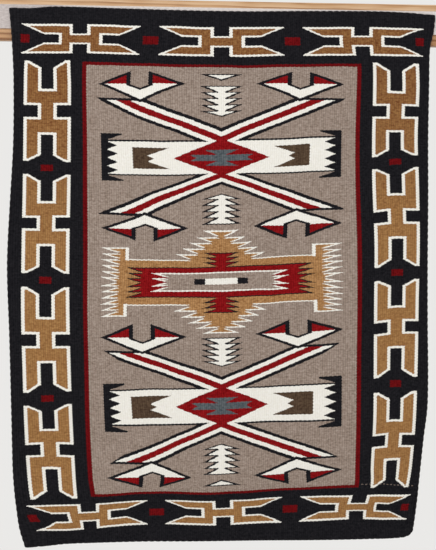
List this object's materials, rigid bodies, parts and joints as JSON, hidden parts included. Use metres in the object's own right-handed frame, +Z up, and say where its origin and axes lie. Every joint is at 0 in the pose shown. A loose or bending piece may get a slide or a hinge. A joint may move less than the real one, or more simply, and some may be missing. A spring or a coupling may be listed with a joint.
{
  "type": "navajo rug on a wall rail",
  "caption": "Handwoven wool tapestry rug, black, grey, tan, red and white, pressed on a hook tape that runs along a pine wall rail.",
  "frame": {"origin": "middle of the rail's back face, where it meets the wall", "axes": "+X to the right as the rug is looked at, +Y into the wall, +Z up; the patterned side faces -Y"},
  "size_m": [1.1, 0.0319, 1.2107],
  "materials": {
    "wool": "matt weft-faced wool tapestry in black, heathered grey, tan, dark red, brown, blue-grey and white",
    "pine": "planed softwood, thinly varnished",
    "tape": "light grey woven hook tape"
  },
  "bodies": {
    "root": {"rug": "wool", "rail": "pine", "hook_tape": "tape"}
  },
  "joints": []
}
